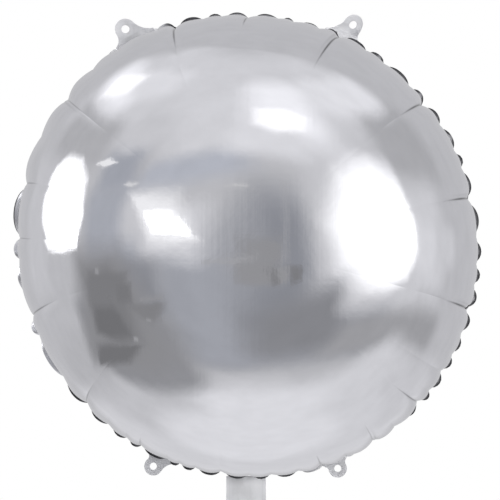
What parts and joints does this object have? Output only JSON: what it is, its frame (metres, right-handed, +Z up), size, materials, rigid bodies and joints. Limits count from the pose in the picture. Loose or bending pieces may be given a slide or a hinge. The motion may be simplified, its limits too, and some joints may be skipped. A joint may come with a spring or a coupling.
{
  "type": "round foil balloon",
  "caption": "Blown-up round balloon of two metallised film panels welded at a puckered rim, with hanging ears and a flat filling tail.",
  "frame": {"origin": "centre of the blown-up envelope: the middle of the seam circle, in the plane where the two panels meet; the mount named air is there", "axes": "+Z up towards the two upper ears, -Y straight out of the front panel, +X to the right seen from the front"},
  "size_m": [0.4511, 0.266, 0.5285],
  "materials": {
    "panel_foil": "bright metallised film, near mirror, with fine streaks",
    "weld_foil": "satin metallised film, two layers welded flat",
    "valve_plastic": "thin milky film, glossy"
  },
  "bodies": {
    "root": {"front_panel": "panel_foil", "back_panel": "panel_foil", "rim_weld": "weld_foil", "ear_upper_left": "weld_foil", "ear_upper_right": "weld_foil", "ear_lower_left": "weld_foil", "ear_lower_right": "weld_foil", "tail_front": "weld_foil", "tail_back": "weld_foil", "valve_film": "valve_plastic"}
  },
  "joints": []
}
